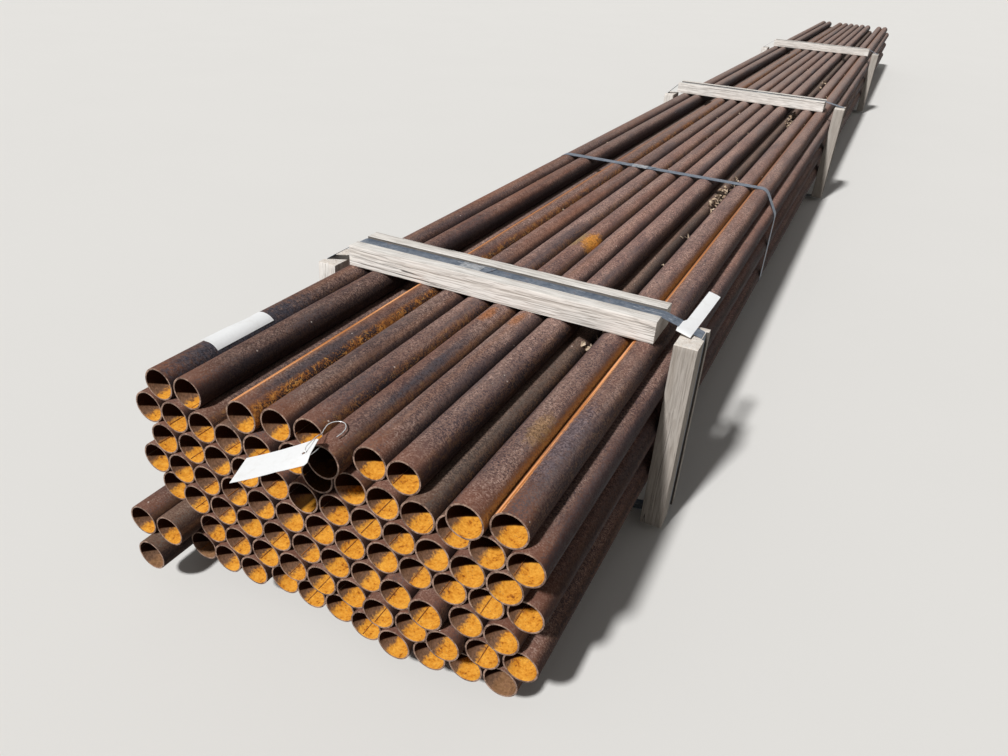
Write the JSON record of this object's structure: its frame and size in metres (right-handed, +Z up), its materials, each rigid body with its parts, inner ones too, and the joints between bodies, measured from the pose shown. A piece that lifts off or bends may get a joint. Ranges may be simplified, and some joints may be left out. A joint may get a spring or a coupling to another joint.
{
  "type": "bundle of steel pipes",
  "caption": "Long rusty welded steel pipes nested in rows, held by steel straps round grooved timber bars and posts, with a card tag.",
  "frame": {"origin": "on the floor under the middle of the bundle's bounding box", "axes": "+X across the bundle, +Y along the pipes away from the tagged ends, +Z up"},
  "size_m": [0.8812, 9.8953, 0.4676],
  "materials": {
    "rusted_steel": "rusted mill finish",
    "weathered_timber": "rough sawn, weathered",
    "strap_steel": "blued strapping steel",
    "tag_wire": "drawn wire",
    "tag_card": "card",
    "label_paper": "paper"
  },
  "bodies": {
    "root": {"band_label": "label_paper", "bottom_bar_1": "weathered_timber", "bottom_bar_2": "weathered_timber", "bottom_bar_3": "weathered_timber", "crib_seal_1": "strap_steel", "crib_seal_2": "strap_steel", "crib_seal_3": "strap_steel", "crib_strap_1": "strap_steel", "crib_strap_2": "strap_steel", "crib_strap_3": "strap_steel", "hang_tag": "tag_card", "left_post_1": "weathered_timber", "left_post_2": "weathered_timber", "left_post_3": "weathered_timber", "middle_seal": "strap_steel", "middle_strap": "strap_steel", "pipe_label": "label_paper", "pipe_row_1": "rusted_steel", "pipe_row_2": "rusted_steel", "pipe_row_3": "rusted_steel", "pipe_row_4": "rusted_steel", "pipe_row_5": "rusted_steel", "pipe_row_6": "rusted_steel", "pipe_row_7": "rusted_steel", "right_post_1": "weathered_timber", "right_post_2": "weathered_timber", "right_post_3": "weathered_timber", "tag_wire": "tag_wire", "top_bar_1": "weathered_timber", "top_bar_2": "weathered_timber", "top_bar_3": "weathered_timber"}
  },
  "joints": []
}
